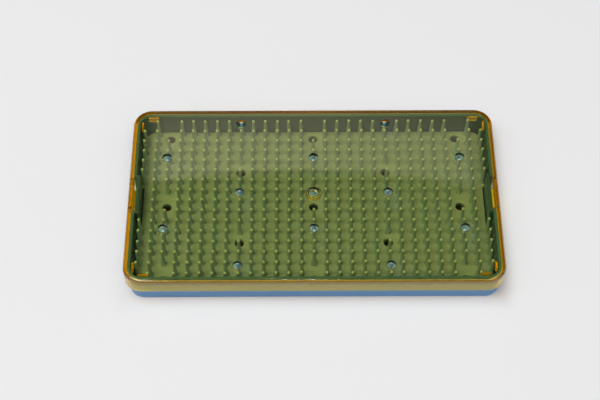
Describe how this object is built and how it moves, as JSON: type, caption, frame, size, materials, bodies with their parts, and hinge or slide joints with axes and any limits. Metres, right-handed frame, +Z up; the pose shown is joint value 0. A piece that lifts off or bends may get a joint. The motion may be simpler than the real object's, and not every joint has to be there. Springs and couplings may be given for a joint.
{
  "type": "surgical instrument sterilization container",
  "caption": "Shallow perforated plastic tray for steam sterilizing fine surgical instruments, with a silicone finger mat and a see-through lid with latch tongues at its ends.",
  "frame": {"origin": "on the standing surface, under the middle of the closed tray", "axes": "+X along the tray towards its right-hand end, +Y towards the back long side, +Z up"},
  "size_m": [0.19, 0.108, 0.0191],
  "materials": {
    "blue_plastic": "injection-moulded polyphenylsulfone, opaque blue, glossy",
    "silicone": "moulded silicone rubber, translucent pale blue, satin",
    "amber_plastic": "injection-moulded polyetherimide, transparent amber, polished"
  },
  "bodies": {
    "base": {"base_tray": "blue_plastic"},
    "finger_mat": {"mat_sheet": "silicone", "mat_fingers": "silicone"},
    "lid": {"lid": "amber_plastic"},
    "latch_left": {"latch_left": "amber_plastic"},
    "latch_right": {"latch_right": "amber_plastic"}
  },
  "joints": [
    {"name": "mat_lift", "type": "slide", "parent": "base", "child": "finger_mat", "axis": [0, 0, 1], "range_m": [0, 0.025]},
    {"name": "lid_lift", "type": "slide", "parent": "finger_mat", "child": "lid", "axis": [0, 0, 1], "range_m": [0, 0.05]},
    {"name": "latch_left_flex", "type": "hinge", "parent": "lid", "child": "latch_left", "pos_m": [-0.09405, 0, 0.0169], "axis": [0, 1, 0], "range_deg": [0, 8], "stiffness_Nm_per_rad": 0.5},
    {"name": "latch_right_flex", "type": "hinge", "parent": "lid", "child": "latch_right", "pos_m": [0.09405, 0, 0.0169], "axis": [0, -1, 0], "range_deg": [0, 8], "stiffness_Nm_per_rad": 0.5}
  ]
}
